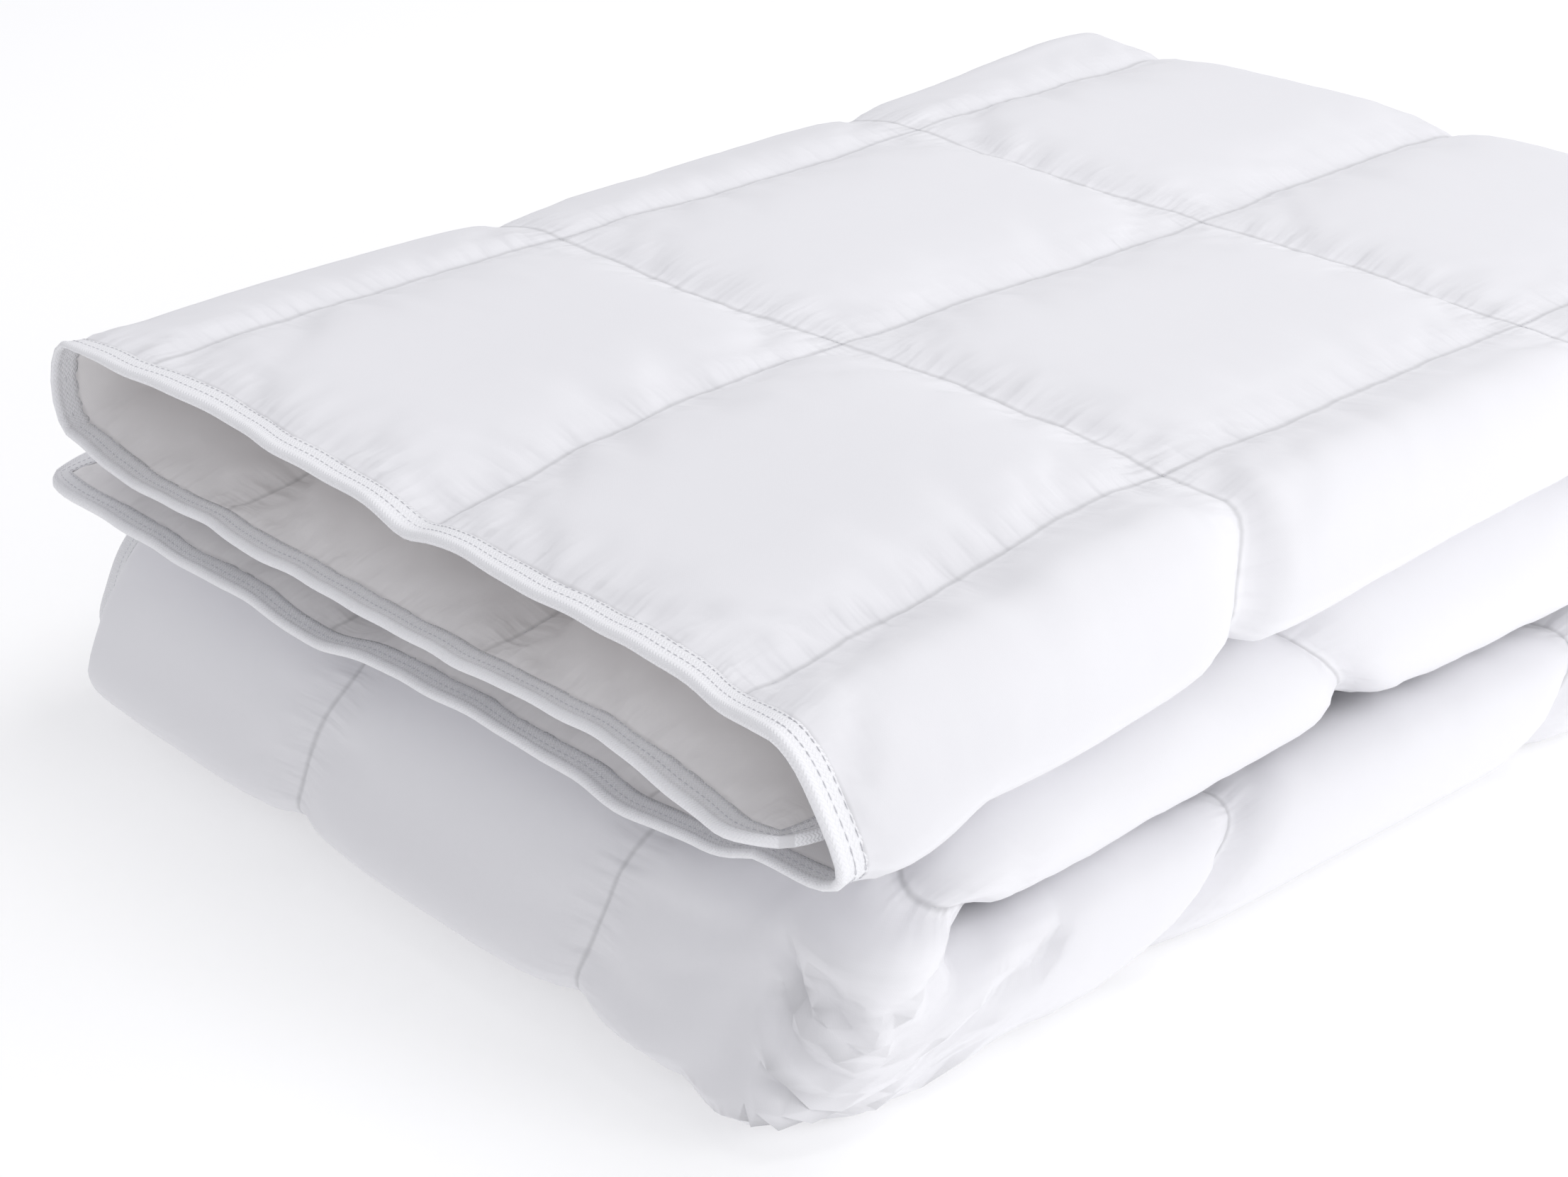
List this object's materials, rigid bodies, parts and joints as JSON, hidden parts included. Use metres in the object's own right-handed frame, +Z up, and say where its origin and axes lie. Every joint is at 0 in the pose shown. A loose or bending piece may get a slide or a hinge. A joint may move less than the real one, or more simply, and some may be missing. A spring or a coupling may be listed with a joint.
{
  "type": "folded down duvet",
  "caption": "White box-quilted down duvet with a piped edge, folded in three across its width and zig-zagged in three along its length into a soft stack.",
  "frame": {"origin": "middle of the folded stack's underside, on the floor", "axes": "+X across the folded stack from its double left fold to its rolled right side, +Y from the front edge to the back fold, +Z up"},
  "size_m": [0.5798, 0.7792, 0.2191],
  "materials": {
    "shell_cotton": "satin",
    "down": "matte",
    "cord_cotton": "matte",
    "twill_tape": "matte",
    "thread": "satin"
  },
  "bodies": {
    "root": {"face_fabric": "shell_cotton", "back_fabric": "shell_cotton", "down_fill_row_1": "down", "down_fill_row_2": "down", "down_fill_row_3": "down", "down_fill_row_4": "down", "down_fill_row_5": "down", "down_fill_row_6": "down", "down_fill_row_7": "down", "down_fill_row_8": "down", "down_fill_row_9": "down", "piping_cord": "cord_cotton", "binding_tape": "twill_tape", "edge_stitching": "thread", "lengthwise_stitching": "thread", "crosswise_stitching": "thread"}
  },
  "joints": []
}
